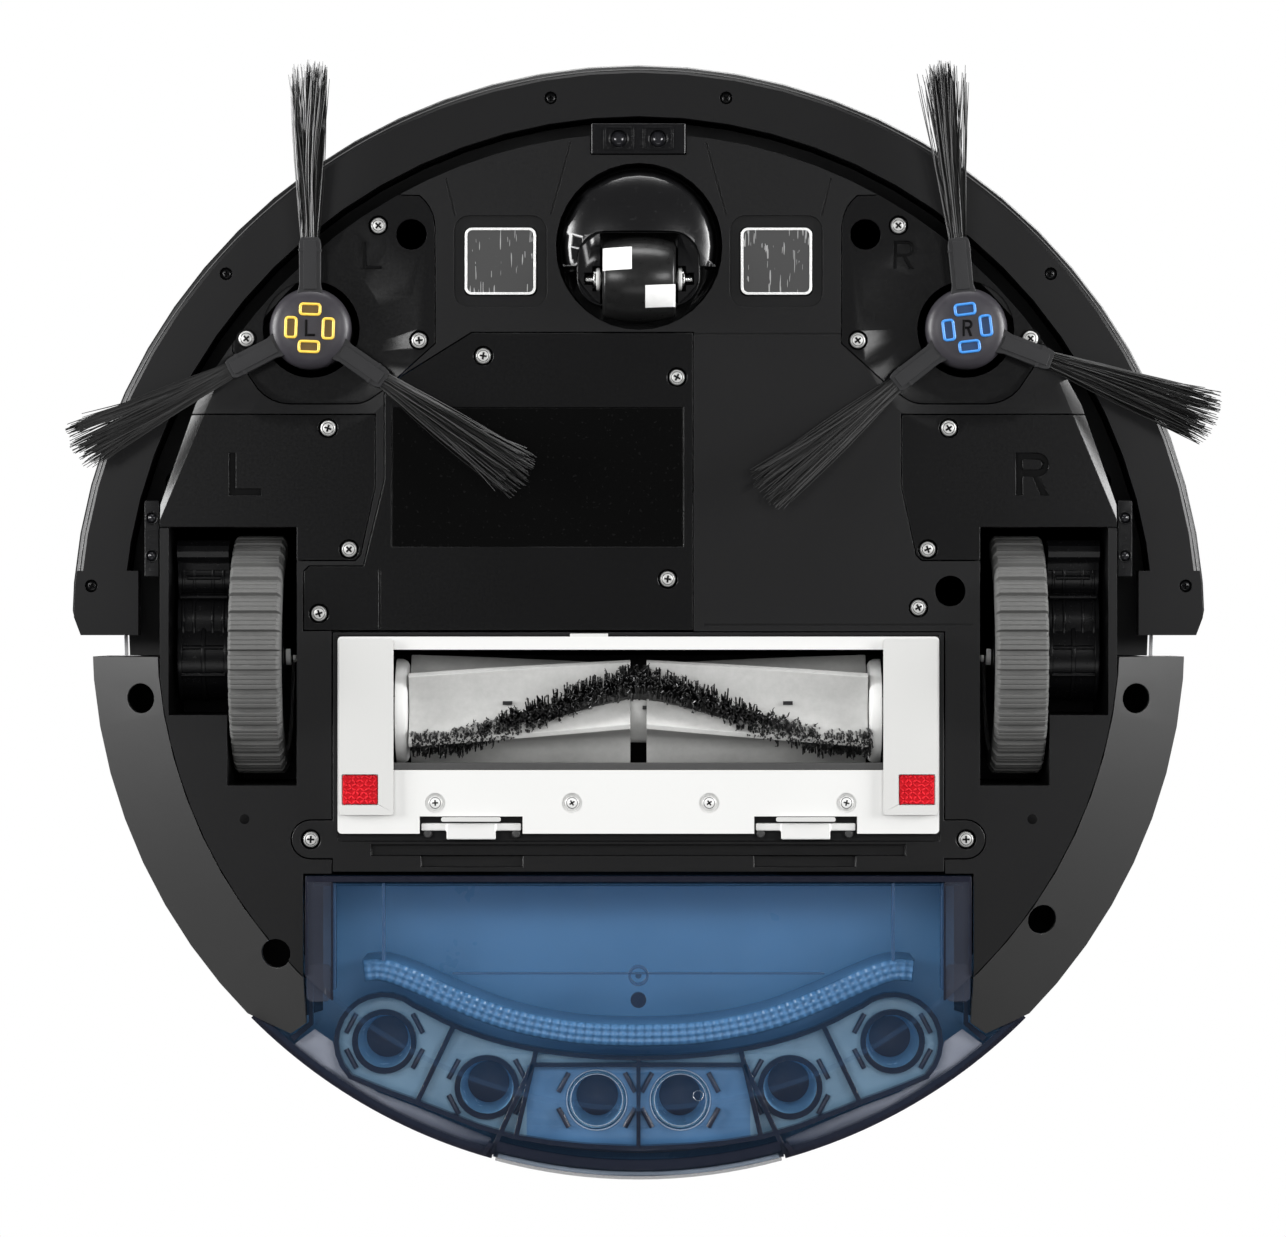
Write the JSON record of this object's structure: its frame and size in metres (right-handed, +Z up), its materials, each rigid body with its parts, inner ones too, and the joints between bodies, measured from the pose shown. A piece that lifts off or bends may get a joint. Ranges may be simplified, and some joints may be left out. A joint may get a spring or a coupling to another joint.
{
  "type": "robot vacuum",
  "caption": "Round low robot vacuum with a sprung front bumper, side brushes, caster, drive wheels, main brush behind a pale guard, and a blue rear dust bin.",
  "frame": {"origin": "centre of the round body on the floor that the wheels stand on", "axes": "+Z up, +Y towards the dust bin at the rear, -Y towards the bumper in front, -X the side marked L"},
  "size_m": [0.3341, 0.3271, 0.076],
  "materials": {
    "black_shell": "matte",
    "satin_shell": "satin",
    "gloss_black": "gloss",
    "contact_metal": "polished",
    "battery_wrap": "satin",
    "circuit_board": "satin",
    "motor_metal": "satin",
    "gear_housing": "satin",
    "dark_plastic": "satin",
    "bin_blue": "gloss",
    "smoky_plastic": "gloss",
    "grey_tyre": "matte",
    "dark_rubber": "satin",
    "pale_rubber": "satin",
    "insert_yellow": "satin",
    "insert_blue": "satin",
    "black_bristle": "matte",
    "pale_plastic": "satin",
    "red_pad": "matte"
  },
  "bodies": {
    "chassis": {"base_shell": "black_shell", "rear_shell": "satin_shell", "upper_frame": "black_shell", "top_cover": "gloss_black", "side_brush_cover_left": "black_shell", "side_brush_cover_right": "black_shell", "wheel_cover_left": "black_shell", "wheel_cover_right": "black_shell", "charge_contact_left": "contact_metal", "charge_contact_right": "contact_metal", "side_cliff_sensor_left": "gloss_black", "side_cliff_sensor_right": "gloss_black", "battery_cover": "black_shell", "battery_label": "gloss_black", "battery_pack": "battery_wrap", "brush_housing": "black_shell", "front_cliff_sensor": "gloss_black", "main_board": "circuit_board", "brush_motor": "motor_metal", "suction_fan": "dark_plastic", "side_brush_motor_left": "motor_metal", "side_brush_motor_right": "motor_metal"},
    "power_button": {"power_button": "satin_shell"},
    "home_button": {"home_button": "satin_shell"},
    "bumper": {"bumper_shell": "satin_shell", "bumper_window": "gloss_black"},
    "dust_bin": {"bin_tub": "bin_blue", "bin_lid": "bin_blue", "bin_rail_left": "smoky_plastic", "bin_rail_right": "smoky_plastic", "bin_duct": "smoky_plastic", "bin_filter": "bin_blue"},
    "bin_release": {"bin_release_button": "smoky_plastic"},
    "caster_swivel": {"caster_dome": "gloss_black", "caster_axle": "contact_metal"},
    "caster_wheel": {"caster_wheel": "dark_plastic"},
    "left_suspension": {"gearbox_left": "gear_housing"},
    "right_suspension": {"gearbox_right": "gear_housing"},
    "left_wheel": {"wheel_hub_left": "dark_plastic", "tyre_left": "grey_tyre"},
    "right_wheel": {"wheel_hub_right": "dark_plastic", "tyre_right": "grey_tyre"},
    "left_side_brush": {"side_brush_hub_left": "dark_rubber", "side_brush_insert_left": "insert_yellow", "tuft_left_1": "black_bristle", "tuft_left_2": "black_bristle", "tuft_left_3": "black_bristle"},
    "right_side_brush": {"side_brush_hub_right": "dark_rubber", "side_brush_insert_right": "insert_blue", "tuft_right_1": "black_bristle", "tuft_right_2": "black_bristle", "tuft_right_3": "black_bristle"},
    "main_brush": {"brush_roller": "pale_rubber", "roller_bristles": "black_bristle"},
    "guard": {"brush_guard": "pale_plastic", "guard_pad_left": "red_pad", "guard_pad_right": "red_pad"},
    "latch_left": {"guard_latch_left": "pale_plastic"},
    "latch_right": {"guard_latch_right": "pale_plastic"}
  },
  "joints": [
    {"name": "bumper_slide", "type": "slide", "parent": "chassis", "child": "bumper", "axis": [0, 1, 0], "range_m": [0, 0.004], "stiffness_N_per_m": 500, "springref_m": -0.002},
    {"name": "power_press", "type": "slide", "parent": "chassis", "child": "power_button", "axis": [0, 0, -1], "range_m": [0, 0.001], "stiffness_N_per_m": 600, "springref_m": -0.0005},
    {"name": "home_press", "type": "slide", "parent": "chassis", "child": "home_button", "axis": [0, 0, -1], "range_m": [0, 0.001], "stiffness_N_per_m": 600, "springref_m": -0.0005},
    {"name": "dust_bin_slide", "type": "slide", "parent": "chassis", "child": "dust_bin", "axis": [0, 1, 0], "range_m": [0, 0.09]},
    {"name": "bin_release_press", "type": "slide", "parent": "dust_bin", "child": "bin_release", "axis": [0, -1, 0], "range_m": [0, 0.003], "stiffness_N_per_m": 300, "springref_m": -0.001},
    {"name": "caster_turn", "type": "hinge", "parent": "chassis", "child": "caster_swivel", "pos_m": [0.0002, -0.1117, 0.02], "axis": [0, 0, 1], "continuous": true},
    {"name": "caster_roll", "type": "hinge", "parent": "caster_swivel", "child": "caster_wheel", "pos_m": [0.0002, -0.1023, 0.0125], "axis": [1, 0, 0], "continuous": true},
    {"name": "left_suspension_swing", "type": "hinge", "parent": "chassis", "child": "left_suspension", "pos_m": [-0.127, -0.024, 0.0225], "axis": [-1, 0, 0], "range_deg": [0, 44], "stiffness_Nm_per_rad": 0.1, "springref_deg": 68.75},
    {"name": "right_suspension_swing", "type": "hinge", "parent": "chassis", "child": "right_suspension", "pos_m": [0.127, -0.024, 0.0225], "axis": [-1, 0, 0], "range_deg": [0, 44], "stiffness_Nm_per_rad": 0.1, "springref_deg": 68.75},
    {"name": "left_wheel_roll", "type": "hinge", "parent": "left_suspension", "child": "left_wheel", "pos_m": [-0.1108, 0.0067, 0.035], "axis": [1, 0, 0], "continuous": true},
    {"name": "right_wheel_roll", "type": "hinge", "parent": "right_suspension", "child": "right_wheel", "pos_m": [0.1108, 0.0067, 0.035], "axis": [1, 0, 0], "continuous": true},
    {"name": "left_side_brush_spin", "type": "hinge", "parent": "chassis", "child": "left_side_brush", "pos_m": [-0.095, -0.0878, 0.008], "axis": [0, 0, 1], "continuous": true, "deforming": ["tuft_left_1", "tuft_left_2", "tuft_left_3"]},
    {"name": "right_side_brush_spin", "type": "hinge", "parent": "chassis", "child": "right_side_brush", "pos_m": [0.095, -0.0878, 0.008], "axis": [0, 0, 1], "continuous": true, "deforming": ["tuft_right_1", "tuft_right_2", "tuft_right_3"]},
    {"name": "main_brush_spin", "type": "hinge", "parent": "chassis", "child": "main_brush", "pos_m": [0, 0.0232, 0.023], "axis": [1, 0, 0], "continuous": true},
    {"name": "brush_guard_hinge", "type": "hinge", "parent": "chassis", "child": "guard", "pos_m": [0, 0.0014, 0.007], "axis": [-1, 0, 0], "range_deg": [0, 80]},
    {"name": "latch_left_press", "type": "slide", "parent": "guard", "child": "latch_left", "axis": [0, -1, 0], "range_m": [0, 0.0015], "stiffness_N_per_m": 200, "springref_m": -0.001},
    {"name": "latch_right_press", "type": "slide", "parent": "guard", "child": "latch_right", "axis": [0, -1, 0], "range_m": [0, 0.0015], "stiffness_N_per_m": 200, "springref_m": -0.001}
  ]
}
